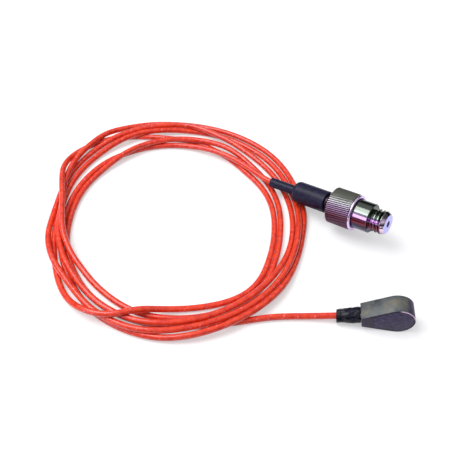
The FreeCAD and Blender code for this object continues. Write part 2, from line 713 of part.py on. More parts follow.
def main():
    os.makedirs("parts", exist_ok=True)
    head = {"sensor_housing": sensor_housing(), "mounting_base": mounting_base()}
    head.update(sensing_stack())
    head.update(amplifier())
    head.update(cable_exit())
    nodes = {name: place_head(shape) for name, shape in head.items()}
    nodes.update({name: place_connector(shape) for name, shape in connector_pieces().items()})
    nodes.update(cables())
    for name, shape in nodes.items():
        box = shape.optimalBoundingBox()
        if not shape.isValid() or shape.Volume <= 0:
            print("BAD", name, shape.isValid(), shape.Volume)
        print("%s %.3f mm3, z %.2f to %.2f" % (name, shape.Volume, box.ZMin, box.ZMax))
        shape.exportStep("parts/%s.step" % name)


main()
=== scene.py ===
# %% [markdown]
# A miniature vibration sensor with its own cable
#
# The part is a teardrop-shaped sensor head no longer than a fingernail, a thin orange
# cable that never comes off it, and a small screw coupling at the far end. This lesson
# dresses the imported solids: a few are shown as they are with a better finish, and most of
# those in view get a piece with finer detail. Sizes are in millimetres until the last
# moment, where MM turns them into the metres that the frame uses.

# %% Load the frame
import math

import bpy
from mathutils import Matrix, Vector


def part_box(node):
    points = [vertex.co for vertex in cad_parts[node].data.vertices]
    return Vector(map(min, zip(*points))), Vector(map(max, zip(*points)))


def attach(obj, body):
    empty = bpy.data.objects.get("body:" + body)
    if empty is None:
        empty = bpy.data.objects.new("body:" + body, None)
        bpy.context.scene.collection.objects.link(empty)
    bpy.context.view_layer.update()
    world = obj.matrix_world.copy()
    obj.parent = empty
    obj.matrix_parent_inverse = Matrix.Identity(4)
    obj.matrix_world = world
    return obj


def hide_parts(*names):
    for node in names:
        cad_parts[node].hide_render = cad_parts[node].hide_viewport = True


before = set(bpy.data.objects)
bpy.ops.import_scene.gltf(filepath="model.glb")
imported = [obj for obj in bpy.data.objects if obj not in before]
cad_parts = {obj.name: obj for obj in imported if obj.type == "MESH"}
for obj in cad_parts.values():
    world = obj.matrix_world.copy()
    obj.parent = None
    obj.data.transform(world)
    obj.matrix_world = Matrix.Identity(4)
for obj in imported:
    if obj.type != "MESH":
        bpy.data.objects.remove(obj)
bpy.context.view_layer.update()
MM = 0.001
BODY = "sensor_and_cable"
NUT = "nut"
ADAPTOR = "adaptor"
print("nodes", len(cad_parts))

# %% [markdown]
# The camera stands where the photographer's did: 48 degrees above the table and a little
# to the left of the head's own side view. The focal length is given in the photograph's
# own pixels, and the lens follows from it and the sensor's width.

# %% The camera
CAMERA_PLACE = (-20.97, -76.70, 108.9)
CAMERA_TILT = 48.0
CAMERA_TURN = 4.3
FOCAL_PIXELS = 702
PICTURE_PIXELS = 460
SENSOR_WIDTH = 36
NEAREST_SEEN = 5

camera_data = bpy.data.cameras.new("camera")
camera_data.sensor_width = SENSOR_WIDTH
camera_data.lens = SENSOR_WIDTH * FOCAL_PIXELS / PICTURE_PIXELS
camera_data.clip_start = NEAREST_SEEN * MM
camera = bpy.data.objects.new("camera", camera_data)
camera.location = Vector(CAMERA_PLACE) * MM
camera.rotation_euler = (math.radians(90 - CAMERA_TILT), 0, math.radians(CAMERA_TURN))
bpy.context.scene.collection.objects.link(camera)
bpy.context.scene.camera = camera
bpy.context.scene.view_settings.view_transform = "Standard"
print("lens", round(camera_data.lens, 2))

# %% [markdown]
# The cable is nearly a metre long, 1.26 mm thick as drawn, and springy, so it lies in wide
# loose turns that cross each other where they like. One circle repeated would look like a
# spring, so each turn gets its own short list: at this bearing, this many cable widths
# out from the coil's own radius, and this many layers up. A smooth easing fills in between
# them, and never swings past a value, which keeps neighbours from cutting into each other.

# %% The cable's coil
CABLE_DIAMETER = 1.26
COIL_CENTRE = (-41.4, 22.6)
COIL_RADIUS = 22.3
COIL_FLAT_SIDE = 0.8
LANE_PITCH = 1.24
LAYER_PITCH = 1.14
FLOOR_GAP = 0.02
POINTS_PER_TURN = 36
# One list for each turn, clockwise from above: bearing in degrees, lane, layer.
COIL_TURNS = (
    (
        (-66, 4.9, 0), (-90, 3.6, 0), (-112, 2.5, 0), (-135, 0.95, 0), (-152, 0.1, 0),
        (180, -0.65, 0), (148, -0.2, 0), (136, 0.0, 0.3), (125, 0.45, 0.85), (112, 1.1, 1),
        (90, 1.85, 1), (66, 2.0, 1), (45, 1.45, 0), (20, 1.15, 0), (0, 1.05, 0),
    ),
    (
        (-20, 1.8, 0), (-45, 3.6, 0), (-90, 2.2, 0), (-120, 0.1, 0), (-135, -0.4, 0.5),
        (-148, -0.2, 1), (-165, 0.2, 1.7), (180, 0.6, 2.05), (165, 2.6, 2.05),
        (156, 4.7, 2.0), (148, 6.1, 1.3), (139, 6.95, 0.1), (130, 7.0, 0), (118, 5.5, 0),
        (96, 2.9, 0), (84, 2.35, 0), (72, 1.2, 0), (60, 0.4, 0), (45, -0.4, 0),
        (20, -0.1, 0), (0, 0.0, 0),
    ),
    (
        (-20, 0.75, 0), (-45, 2.5, 0), (-78, 1.0, 0), (-88, 1.1, 0.7), (-97, 2.6, 2.05),
        (-110, 5.2, 2.0), (-120, 5.2, 1), (-128, 4.6, 0.2), (-138, 3.6, 0), (-152, 2.3, 0),
        (-166, 1.75, 0), (180, 1.4, 0), (150, 2.9, 0), (135, 3.8, 0), (124, 4.3, 0.6),
        (112, 4.7, 1), (100, 4.85, 0.7), (90, 5.1, 0.2), (84, 5.2, 0), (45, 4.8, 0),
        (20, 4.15, 0), (10, 4.2, 0.05), (3, 4.15, 0.5), (-6, 4.1, 1),
    ),
    (
        (-20, 4.5, 1), (-45, 5.05, 1), (-75, 5.1, 1), (-90, 5.4, 1), (-112, 4.35, 1),
        (-135, 2.75, 1), (-152, 2.85, 1), (-165, 2.75, 0.6), (180, 2.4, 0), (150, 4.2, 0),
        (135, 5.3, 0), (128, 5.5, 0.5), (120, 5.7, 1), (90, 5.95, 1.05), (75, 4.4, 1.1),
        (60, 3.6, 0.6), (48, 3.35, 0), (20, 3.05, 0), (4, 3.1, 0), (-12, 3.3, 0.1),
    ),
    (
        (-30, 3.6, 0.95), (-45, 3.75, 1), (-90, 3.95, 1), (-112, 2.85, 1), (-135, 1.4, 1),
        (-152, 1.1, 1), (180, 1.0, 1), (165, 2.4, 1), (150, 4.6, 1.1), (135, 6.3, 1.1),
        (128, 7.1, 1.1), (122, 7.7, 0.8), (112, 7.75, 0.1), (90, 7.0, 0), (45, 6.2, 0),
        (20, 5.25, 0), (10, 5.25, 0), (4, 5.15, 0), (-5, 4.85, 0),
    ),
    (
        (-20, 5.1, 0), (-31, 5.75, 0.5), (-41, 6.1, 1), (-57, 6.25, 1.05), (-72, 6.4, 0.8),
        (-82, 6.25, 0.3), (-90, 5.8, 0), (-112, 4.2, 0), (-135, 2.1, 0), (-152, 1.15, 0),
        (180, 0.35, 0), (150, 0.85, 0), (135, 1.2, 0), (100, 1.1, 0), (86, 0.8, 0.15),
        (76, 0.3, 0.75), (66, 0.0, 1), (54, -0.1, 1.2), (46, -0.1, 1.3),
    ),
)


def coil_marks():
    """The marks of all turns in one list: turned angle, lane, layer."""
    marks = []
    for turn in COIL_TURNS:
        for bearing, lane, layer in turn:
            angle = -bearing
            while marks and angle <= marks[-1][0]:
                angle += 360
            marks.append((angle, lane, layer))
    return marks


def eased(marks, column, angle):
    """A smooth value between the marks that never swings past them."""
    xs = [m[0] for m in marks]
    ys = [m[column] for m in marks]
    widths = [b - a for a, b in zip(xs, xs[1:])]
    rates = [(b - a) / w for a, b, w in zip(ys, ys[1:], widths)]
    slopes = [rates[0]]
    for i in range(1, len(rates)):
        before, after = rates[i - 1], rates[i]
        if before * after <= 0:
            slopes.append(0.0)
            continue
        one = 2 * widths[i] + widths[i - 1]
        two = widths[i] + 2 * widths[i - 1]
        slopes.append((one + two) / (one / before + two / after))
    slopes.append(rates[-1])
    i = 0
    while i < len(widths) - 1 and angle > xs[i + 1]:
        i += 1
    t = (angle - xs[i]) / widths[i]
    start = ys[i] * (1 + 2 * t) * (1 - t) ** 2 + slopes[i] * widths[i] * t * (1 - t) ** 2
    end = ys[i + 1] * t * t * (3 - 2 * t) + slopes[i + 1] * widths[i] * t * t * (t - 1)
    return start + end


def coil_points():
    """The coil's control points, evenly turned from the first mark to the last."""
    marks = coil_marks()
    first, last = marks[0][0], marks[-1][0]
    count = round((last - first) / 360 * POINTS_PER_TURN)
    points = []
    for i in range(count + 1):
        angle = first + (last - first) * i / count
        turn = math.radians(angle)
        flat = COIL_FLAT_SIDE * ((1 - math.cos(turn)) / 2) ** 3
        reach = COIL_RADIUS - flat + eased(marks, 1, angle) * LANE_PITCH
        height = CABLE_DIAMETER / 2 + FLOOR_GAP + eased(marks, 2, angle) * LAYER_PITCH
        x = COIL_CENTRE[0] + reach * math.cos(turn)
        y = COIL_CENTRE[1] - reach * math.sin(turn)
        points.append(Vector((x, y, height)))
    return points


coil = coil_points()
print("coil points", len(coil))

# %% [markdown]
# The rest of the cable's line has a few chosen points: out of the boot and down to the
# table on one side, and up into the connector's sleeve on the other. All of them together
# are the control points of one NURBS spline, so the cable bends smoothly from end to end.

# %% The cable's line
CONNECTOR_START = Vector((-20.21, 33.24, 2.7))
CONNECTOR_YAW = -32.2
CONNECTOR_PITCH = 9.0
LEAD_POINTS = (Vector((-1.6, 0, 2.22)), Vector((-9.9, 0, 0.83)), Vector((-18.5, -0.5, 0.62)))
LAST_RUN = 4.5
SLEEVE_POINTS = (-1.35, 3.0, 6.0)
CABLE_LENGTH = 960
TUBE_STEPS = 5
TUBE_ROUND_STEPS = 6

connector_place = (
    Matrix.Translation(CONNECTOR_START * MM)
    @ Matrix.Rotation(math.radians(CONNECTOR_YAW), 4, "Z")
    @ Matrix.Rotation(math.radians(-CONNECTOR_PITCH), 4, "Y")
)
connector_axis = (connector_place.to_3x3() @ Vector((1, 0, 0))).normalized()


def spline_curve(name, points, diameter):
    """A round tube along a quadratic NURBS line through these control points, in mm."""
    data = bpy.data.curves.new(name, "CURVE")
    data.dimensions = "3D"
    spline = data.splines.new("NURBS")
    spline.points.add(len(points) - 1)
    for point, place in zip(spline.points, points):
        point.co = (*(place * MM), 1)
    spline.order_u = 3
    spline.use_endpoint_u = True
    data.resolution_u = TUBE_STEPS
    data.bevel_depth = diameter / 2 * MM
    data.bevel_resolution = TUBE_ROUND_STEPS
    data.use_fill_caps = True
    obj = bpy.data.objects.new(name, data)
    bpy.context.scene.collection.objects.link(obj)
    return obj


into_coil = (coil[1] - coil[0]).normalized()
line = list(LEAD_POINTS) + [coil[0] - into_coil * LAST_RUN] + coil
line += [CONNECTOR_START + connector_axis * along for along in SLEEVE_POINTS]
cable = spline_curve("cable", line, CABLE_DIAMETER)
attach(cable, BODY)
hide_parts("sensor_lead", "cable_coil", "connector_lead", "cable_tail")
print("cable points", len(line))

# %% [markdown]
# Every finish starts from the same helpers. One turns a hex colour into the linear numbers
# that a shader wants. One sets or links a node's inputs, one adds a node, and one makes a
# material whose plain values sit on the shader's own sockets. The last one makes a whole
# finish for the soft tubes, whose colour and relief come from the same cloudy noise.

# %% Helpers for finishes
def colour(code):
    """An sRGB hex value as the linear colour that a shader takes."""
    parts = [int(code[i:i + 2], 16) / 255 for i in (0, 2, 4)]
    linear = [p / 12.92 if p <= 0.04045 else ((p + 0.055) / 1.055) ** 2.4 for p in parts]
    return (*linear, 1.0)


def wire(node, inputs):
    """Sets each input to its value, or links it if the value is another node's socket."""
    for name, value in inputs.items():
        if isinstance(value, bpy.types.NodeSocket):
            node.id_data.links.new(value, node.inputs[name])
        else:
            node.inputs[name].default_value = value


def add(tree, kind, inputs=None, stops=(), **settings):
    """Adds one node with its settings and links, and its colour stops if it has any."""
    node = tree.nodes.new(kind)
    for name, value in settings.items():
        setattr(node, name, value)
    wire(node, inputs or {})
    elements = node.color_ramp.elements if stops else ()
    while len(elements) < len(stops):
        elements.new(0.5)
    for element, (position, code) in zip(elements, stops):
        element.position = position
        element.color = colour(code)
    return node


def new_material(name, base, **values):
    """A material with this base colour and these values on its shader's own sockets."""
    material = bpy.data.materials.new(name)
    material.use_nodes = True
    shader = material.node_tree.nodes["Principled BSDF"]
    wire(shader, {"Base Color": colour(base)})
    wire(shader, {key.replace("_", " "): value for key, value in values.items()})
    return material, material.node_tree, shader


def clouded(name, base, size, detail, depth, stops, **values):
    """A material whose colour and relief follow one noise; size and depth are in mm."""
    material, tree, shader = new_material(name, base, **values)
    place = add(tree, "ShaderNodeTexCoord").outputs["Object"]
    clouds = add(tree, "ShaderNodeTexNoise", {"Vector": place, "Scale": 1 / (size * MM), "Detail": detail})
    tone = add(tree, "ShaderNodeValToRGB", {"Fac": clouds.outputs["Fac"]}, stops)
    bump = add(tree, "ShaderNodeBump", {"Height": clouds.outputs["Fac"], "Distance": depth * MM})
    wire(shader, {"Base Color": tone.outputs["Color"], "Normal": bump.outputs["Normal"]})
    return material


# %% [markdown]
# The object lies on a white table in a bright studio. The table is what throws soft light
# back up under the pieces, and the camera and the mirrors see it a little brighter than
# it is, as a well lit backdrop. The walls of the studio are darker than its ceiling, and
# that is what draws the dark and pale bands along polished metal.

# %% Table, room and light
TABLE_SIZE = 3000
TABLE_LIFT = 0.42
ROOM_LEVEL = 0.8

bpy.ops.object.select_all(action="DESELECT")
bpy.ops.mesh.primitive_plane_add(size=TABLE_SIZE * MM, location=(0, 0, 0))
table = bpy.context.active_object
table.name = "table"
# Painted board: matt and pale, with almost no shine.
table_finish, tree, shader = new_material("white_table", "D0D0D2", Roughness=0.9, Specular_IOR_Level=0.1)
path = add(tree, "ShaderNodeLightPath")
seen = path.outputs["Is Camera Ray"]
for ray in ("Is Glossy Ray", "Is Transmission Ray"):
    seen = add(tree, "ShaderNodeMath", {0: seen, 1: path.outputs[ray]}, operation="MAXIMUM").outputs[0]
lift = add(tree, "ShaderNodeMath", {0: seen, 1: TABLE_LIFT}, operation="MULTIPLY")
wire(shader, {"Emission Color": colour("FFFFFF"), "Emission Strength": lift.outputs[0]})
table.data.materials.append(table_finish)

world = bpy.data.worlds.new("studio")
bpy.context.scene.world = world
world.use_nodes = True
tree = world.node_tree
direction = add(tree, "ShaderNodeTexCoord").outputs["Generated"]
height = add(tree, "ShaderNodeSeparateXYZ", {"Vector": direction}).outputs["Z"]
room = add(tree, "ShaderNodeValToRGB", {"Fac": height}, stops=[
    (0.0, "242226"), (0.28, "3A3A3E"), (0.48, "A2A8A4"), (0.62, "FFFFFF")])
wire(tree.nodes["Background"], {"Color": room.outputs["Color"], "Strength": ROOM_LEVEL})


def soft_lamp(name, place, target, width, depth, power, tint):
    """A rectangular lamp turned to its target, with places and sizes in mm and power in watts."""
    light = bpy.data.lights.new(name, "AREA")
    light.shape = "RECTANGLE"
    light.size = width * MM
    light.size_y = depth * MM
    light.energy = power
    light.color = colour(tint)[:3]
    lamp = bpy.data.objects.new(name, light)
    lamp.location = Vector(place) * MM
    lamp.rotation_euler = (Vector(target) - Vector(place)).to_track_quat("-Z", "Y").to_euler()
    bpy.context.scene.collection.objects.link(lamp)


soft_lamp("overhead", place=(-220, 40, 330), target=(-30, 20, 0),
          width=260, depth=260, power=1.15, tint="FFFFFF")
soft_lamp("lilac_front", place=(-240, -130, 90), target=(-20, 20, 0),
          width=160, depth=100, power=0.12, tint="F2DCF8")
print("room and lamps ready")

# %% [markdown]
# The cable's jacket is a smooth fluoropolymer tape, lapped round the wire and fused. It
# is shiny, and each lap leaves a faint slanting step, so the light breaks up into short
# glints along it. The lap runs round and along the cable at once, which the tube's own UV
# map gives directly: one axis goes along the cable and the other goes round it. Along each
# step's edge, small pale pink flecks are painted into the colour as painted glints.

# %% The jacket's finish
LAP_PITCH = 1.5
LAP_STEP = 0.026
LAP_RISE = 0.25
LUMP_SIZE = 1.1
GLINT_SIZE = 0.4
GLINT_STRENGTH = 0.6

# Fused tape shines like wet paint, and its highlights take on the dye's pink.
jacket, tree, shader = new_material(
    "fused_tape_jacket", "EC482D", Roughness=0.3, Specular_IOR_Level=0.5,
    Specular_Tint=colour("FFB4CC"), Coat_Weight=0.6, Coat_Roughness=0.1)
texture = add(tree, "ShaderNodeTexCoord")
place = texture.outputs["Object"]
apart = add(tree, "ShaderNodeSeparateXYZ", {"Vector": texture.outputs["UV"]})
laps = add(tree, "ShaderNodeMath", {0: apart.outputs["X"], 1: CABLE_LENGTH / LAP_PITCH},
           operation="MULTIPLY")
phase = add(tree, "ShaderNodeMath", {0: laps.outputs[0], 1: apart.outputs["Y"]}, operation="ADD")
lap = add(tree, "ShaderNodeMath", {0: phase.outputs[0]}, operation="FRACT")
edge = add(tree, "ShaderNodeMapRange", {"Value": lap.outputs[0], "From Min": 0.0, "From Max": LAP_RISE},
           interpolation_type="SMOOTHSTEP").outputs["Result"]
lumps = add(tree, "ShaderNodeTexNoise", {"Vector": place, "Scale": 1 / (LUMP_SIZE * MM), "Detail": 2.0})
height = add(tree, "ShaderNodeMath", {0: edge, 1: lumps.outputs["Fac"]}, operation="ADD")
bump = add(tree, "ShaderNodeBump", {"Height": height.outputs[0], "Distance": LAP_STEP * MM})
shade = add(tree, "ShaderNodeValToRGB", {"Fac": lumps.outputs["Fac"]}, stops=[
    (0.3, "CE2A12"), (0.5, "E03A1A"), (0.7, "EC4620")])
step = add(tree, "ShaderNodeMapRange", {"Value": edge, "From Min": 1.0, "From Max": 0.2})
# Painted glints: pale pink flecks along each lap's edge, painted into the base colour.
glint_noise = add(tree, "ShaderNodeTexNoise", {"Vector": place, "Scale": 1 / (GLINT_SIZE * MM)})
glint_patch = add(tree, "ShaderNodeMapRange", {
    "Value": glint_noise.outputs["Fac"], "From Min": 0.56, "From Max": 0.64, "To Max": GLINT_STRENGTH})
painted_glint = add(tree, "ShaderNodeMath", {0: step.outputs["Result"], 1: glint_patch.outputs["Result"]},
            operation="MULTIPLY")
painted_glints = add(tree, "ShaderNodeMix", {
    "Factor": painted_glint.outputs[0], "A": shade.outputs["Color"], "B": colour("FF9CA4")}, data_type="RGBA")
wire(shader, {"Base Color": painted_glints.outputs["Result"], "Normal": bump.outputs["Normal"]})
cable.data.materials.append(jacket)
print("jacket laps", round(CABLE_LENGTH / LAP_PITCH))

# %% [markdown]
# Most of the pieces are turned on a lathe or are round like turned ones. A lathe shape is
# quick to model by hand: start with a circle, then extrude it along the axis and scale it,
# station by station. One function does those steps, and each piece gives its own stations.
# Pieces are made along X and moved to their place in the mesh at the end, so the objects
# stay at the origin.

# %% Helpers for modelling
MERGE_WITHIN = 0.0005


def only(obj):
    """Selects this object alone and makes it the active one."""
    bpy.ops.object.select_all(action="DESELECT")
    obj.select_set(True)
    bpy.context.view_layer.objects.active = obj


def active(name):
    """Names the object just made and gives it back."""
    obj = bpy.context.active_object
    obj.name = name
    obj.data.name = name
    return obj


def outward(obj):
    """Merges doubles and turns all faces outwards."""
    only(obj)
    bpy.ops.object.mode_set(mode="EDIT")
    bpy.ops.mesh.select_all(action="SELECT")
    bpy.ops.mesh.remove_doubles(threshold=MERGE_WITHIN * MM)
    bpy.ops.mesh.normals_make_consistent(inside=False)
    bpy.ops.object.mode_set(mode="OBJECT")


def edit(obj, kind, test):
    """Enters edit mode with only the vertices or faces that pass the test selected."""
    only(obj)
    mesh = obj.data
    for items in (mesh.vertices, mesh.edges, mesh.polygons):
        items.foreach_set("select", [False] * len(items))
    for item in mesh.vertices if kind == "VERT" else mesh.polygons:
        item.select = test(item)
    bpy.ops.object.mode_set(mode="EDIT")
    bpy.ops.mesh.select_mode(type=kind)


def circle(name, count, radius, centre, turn):
    """A circle of this many points, in mm, turned by degrees about X, Y and Z."""
    bpy.ops.object.select_all(action="DESELECT")
    bpy.ops.mesh.primitive_circle_add(
        vertices=count, radius=radius * MM, location=Vector(centre) * MM,
        rotation=[math.radians(angle) for angle in turn])
    obj = active(name)
    bpy.ops.object.transform_apply(location=True, rotation=True, scale=True)
    return obj


def turned(name, stations, around, closed=True):
    """A piece turned about X from (x, radius) stations in mm."""
    x, radius = stations[0]
    obj = circle(name, around, radius, (x, 0, 0), (0, 90, 0))
    bpy.ops.object.mode_set(mode="EDIT")
    bpy.ops.mesh.select_all(action="SELECT")
    loop = stations[1:] + stations[:1] if closed else stations[1:]
    for next_x, next_radius in loop:
        bpy.ops.mesh.extrude_edges_move(TRANSFORM_OT_translate={"value": ((next_x - x) * MM, 0, 0)})
        size = next_radius / radius
        bpy.ops.transform.resize(value=(1, size, size), center_override=(next_x * MM, 0, 0))
        x, radius = next_x, next_radius
    bpy.ops.object.mode_set(mode="OBJECT")
    outward(obj)
    return obj


def finish_piece(obj, place, finish, body, slot, *nodes, angle=35):
    """Puts the piece in its place, gives it its finish and hides the solids it stands for."""
    obj.data.transform(place)
    obj.data.materials.clear()
    obj.data.materials.append(finish)
    only(obj)
    bpy.ops.object.shade_smooth_by_angle(angle=math.radians(angle))
    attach(obj, body)
    if nodes:
        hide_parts(*nodes)


# %% [markdown]
# The head is a flat teardrop, cut from the solid and sealed. It starts as a circle. The
# arc between the two places where the flanks touch stays, the rest goes, and each open end
# is drawn out to the narrow end. Filled and extruded, that is the block. Its edges are
# softened a little, as handled metal's are. The mounting plate is the same outline drawn
# in, and it sits in a shallow pocket in the block's front face.

# %% The head's shape
HEAD_RADIUS = 3.15
HEAD_LENGTH = 9.7
HEAD_DEPTH = 3.7
NARROW_HALF = 1.2
HEAD_PITCH = 9.5
HEAD_POINTS = 120
HEAD_EDGE = 0.1
PLATE_START = 2.1
PLATE_SEAM = 0.1
PLATE_SINK = 0.12
PLATE_SETBACK = 0.01
PLATE_EDGE = 0.03
FACING_FRONT = -0.99
ROUNDING = 1e-9

head_centre = HEAD_LENGTH - HEAD_RADIUS
reach = math.hypot(head_centre, NARROW_HALF)
flank = math.asin(HEAD_RADIUS / reach) - math.atan2(NARROW_HALF, head_centre)
head_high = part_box("sensor_housing")[1]
pitch = math.radians(HEAD_PITCH)
round_end = Vector((head_high[0] / MM - HEAD_RADIUS, 0, HEAD_RADIUS))
head_origin = round_end - Vector((math.cos(pitch), 0, math.sin(pitch))) * head_centre
head_place = Matrix.Translation(head_origin * MM) @ Matrix.Rotation(-pitch, 4, "Y")
print("head origin", [round(v, 3) for v in head_origin])


def teardrop(name, shrink, start, low_y, high_y):
    """A teardrop block in the head's own frame, its outline drawn in by shrink."""
    radius = HEAD_RADIUS - shrink
    obj = circle(name, HEAD_POINTS, radius, (head_centre, 0, 0), (90, 0, 0))
    limit = (head_centre - radius * math.sin(flank)) * MM - ROUNDING
    edit(obj, "VERT", lambda v: v.co.x < limit)
    bpy.ops.mesh.delete(type="VERT")
    bpy.ops.object.mode_set(mode="OBJECT")
    half = (radius + (start - head_centre) * math.sin(flank)) / math.cos(flank) * MM
    for side in (1, -1):
        ends = sorted(obj.data.vertices, key=lambda v: (v.co.z * side <= 0, v.co.x))
        corner = Vector((start * MM, 0, side * half))
        move = corner - ends[0].co
        index = ends[0].index
        edit(obj, "VERT", lambda v: v.index == index)
        bpy.ops.mesh.extrude_vertices_move(TRANSFORM_OT_translate={"value": move})
        bpy.ops.object.mode_set(mode="OBJECT")
    bpy.ops.object.mode_set(mode="EDIT")
    bpy.ops.mesh.select_all(action="SELECT")
    bpy.ops.mesh.edge_face_add()
    bpy.ops.transform.translate(value=(0, low_y * MM, 0))
    bpy.ops.mesh.extrude_region_move(TRANSFORM_OT_translate={"value": (0, (high_y - low_y) * MM, 0)})
    bpy.ops.object.mode_set(mode="OBJECT")
    outward(obj)
    return obj


def soften(obj, width, segments, sharp=40):
    """Bevels the edges sharper than this angle in degrees, by this width in mm."""
    bevel = obj.modifiers.new("soft edges", "BEVEL")
    bevel.width = width * MM
    bevel.segments = segments
    bevel.limit_method = "ANGLE"
    bevel.angle_limit = math.radians(sharp)
    bpy.context.view_layer.objects.active = obj
    bpy.ops.object.modifier_apply(modifier=bevel.name)


block = teardrop("head_block", 0, 0, -HEAD_DEPTH / 2, HEAD_DEPTH / 2)
soften(block, HEAD_EDGE, segments=3)
bpy.ops.object.mode_set(mode="EDIT")
bpy.ops.mesh.select_all(action="SELECT")
bpy.ops.mesh.bisect(plane_co=(PLATE_START * MM, 0, 0), plane_no=(1, 0, 0))
bpy.ops.object.mode_set(mode="OBJECT")
edit(block, "FACE", lambda f: f.normal.y < FACING_FRONT and f.center.x > PLATE_START * MM)
bpy.ops.mesh.inset(thickness=PLATE_SEAM * MM / 2)
bpy.ops.mesh.extrude_region_move(TRANSFORM_OT_translate={"value": (0, PLATE_SINK * MM, 0)})
bpy.ops.object.mode_set(mode="OBJECT")
plate = teardrop("mounting_plate", HEAD_EDGE + 1.5 * PLATE_SEAM, PLATE_START + PLATE_SEAM,
                 -HEAD_DEPTH / 2 + PLATE_SETBACK, -HEAD_DEPTH / 2 + PLATE_SINK)
soften(plate, PLATE_EDGE, segments=2)
print("head block", len(block.data.polygons), "plate", len(plate.data.polygons))

# %% [markdown]
# The housing is titanium with a grey, slightly chalky finish. Thumbs and wax have worn it
# to a warmer tone in patches. Its round end's right side is painted dark purple and its
# front face darker, both painted shade, and its front rim has a dark seam line on the left
# and a painted highlight on the right. The mounting plate is bare and darker, with a faint
# purple cast too and streaks from being wiped.

# %% The head's finishes
HEAD_FRONT = -HEAD_DEPTH / 2
WEAR_SIZE = 2.4
GRAIN_SIZE = 0.22
GRAIN_DEPTH = 0.02
SMEAR_SIZE = 0.9
SMEAR_DEPTH = 0.03
SMEAR_SQUEEZE = 2.6
SMEAR_LEAN = 0.6
# Where each tone starts and where it is full, in mm unless it says otherwise.
ROUND_END_SHADE_SHARE = (0.4, 0.65)  # of the head's radius, to the right of the round end's middle
WALL_DEPTH = (0.03, 0.09)  # behind the front face
RIM_MARGIN = (0.2, 0.12)  # inside the round end's edge
RIM_HEIGHT = (0.2, 1.0)  # above the round end's middle
RIM_DEPTH = (0.1, 0.05)  # behind the front face

# Chalky titanium: a soft grey that only shines where it is seen along its surface.
housing_finish, tree, shader = new_material("chalky_titanium", "62686C", Roughness=0.5, Metallic=0.35)
place = add(tree, "ShaderNodeTexCoord").outputs["Object"]
spot = add(tree, "ShaderNodeSeparateXYZ", {"Vector": place})
wear = add(tree, "ShaderNodeTexNoise", {
    "Vector": place, "Scale": 1 / (WEAR_SIZE * MM), "Detail": 4.0, "Roughness": 0.6})
tone = add(tree, "ShaderNodeValToRGB", {"Fac": wear.outputs["Fac"]}, stops=[
    (0.35, "3A3F44"), (0.5, "585D60"), (0.66, "706D60")])
# Painted shade: the round end's right side turns dark purple, painted into the colour.
round_end_shade = add(tree, "ShaderNodeMapRange", {
    "Value": spot.outputs["X"], "From Min": (round_end.x + ROUND_END_SHADE_SHARE[0] * HEAD_RADIUS) * MM,
    "From Max": (round_end.x + ROUND_END_SHADE_SHARE[1] * HEAD_RADIUS) * MM})
walls = add(tree, "ShaderNodeMix", {
    "Factor": round_end_shade.outputs["Result"], "A": tone.outputs["Color"], "B": colour("362A50")},
    data_type="RGBA")
# Painted shade: the housing's front face is painted darker than its walls.
behind_front = add(tree, "ShaderNodeMapRange", {
    "Value": spot.outputs["Y"], "From Min": (HEAD_FRONT + WALL_DEPTH[0]) * MM,
    "From Max": (HEAD_FRONT + WALL_DEPTH[1]) * MM})
faces = add(tree, "ShaderNodeMix", {
    "Factor": behind_front.outputs["Result"], "A": colour("30293E"), "B": walls.outputs["Result"]},
    data_type="RGBA")

# The front rim is far from the round end's middle, above it, and at the front.
offset = add(tree, "ShaderNodeVectorMath", {0: place, 1: round_end * MM}, operation="SUBTRACT")
flat = add(tree, "ShaderNodeVectorMath", {0: offset.outputs[0], 1: (1.0, 0.0, 1.0)}, operation="MULTIPLY")
from_middle = add(tree, "ShaderNodeVectorMath", {0: flat.outputs[0]}, operation="LENGTH")
towards = add(tree, "ShaderNodeSeparateXYZ", {"Vector": flat.outputs[0]})
on_rim = 1.0
for value, none, full in (
        (from_middle.outputs["Value"], HEAD_RADIUS - RIM_MARGIN[0], HEAD_RADIUS - RIM_MARGIN[1]),
        (towards.outputs["Z"], *RIM_HEIGHT),
        (spot.outputs["Y"], HEAD_FRONT + RIM_DEPTH[0], HEAD_FRONT + RIM_DEPTH[1])):
    share = add(tree, "ShaderNodeMapRange", {"Value": value, "From Min": none * MM, "From Max": full * MM})
    on_rim = add(tree, "ShaderNodeMath", {0: on_rim, 1: share.outputs["Result"]},
                 operation="MULTIPLY").outputs[0]
# Along the front rim: a dark seam line on the left, and a painted highlight on the right.
rightwards = add(tree, "ShaderNodeMapRange", {
    "Value": towards.outputs["X"], "From Min": -MM, "From Max": MM})
seam_and_rim_highlight = add(tree, "ShaderNodeValToRGB", {"Fac": rightwards.outputs["Result"]}, stops=[
    (0.0, "1E1C22"), (0.35, "2A272E"), (0.75, "ECCDE8")])
with_rim_highlight = add(tree, "ShaderNodeMix", {
    "Factor": on_rim, "A": faces.outputs["Result"], "B": seam_and_rim_highlight.outputs["Color"]}, data_type="RGBA")
grain = add(tree, "ShaderNodeTexNoise", {"Vector": place, "Scale": 1 / (GRAIN_SIZE * MM), "Detail": 2.0})
bump = add(tree, "ShaderNodeBump", {"Height": grain.outputs["Fac"], "Distance": GRAIN_DEPTH * MM})
wire(shader, {"Base Color": with_rim_highlight.outputs["Result"], "Normal": bump.outputs["Normal"]})

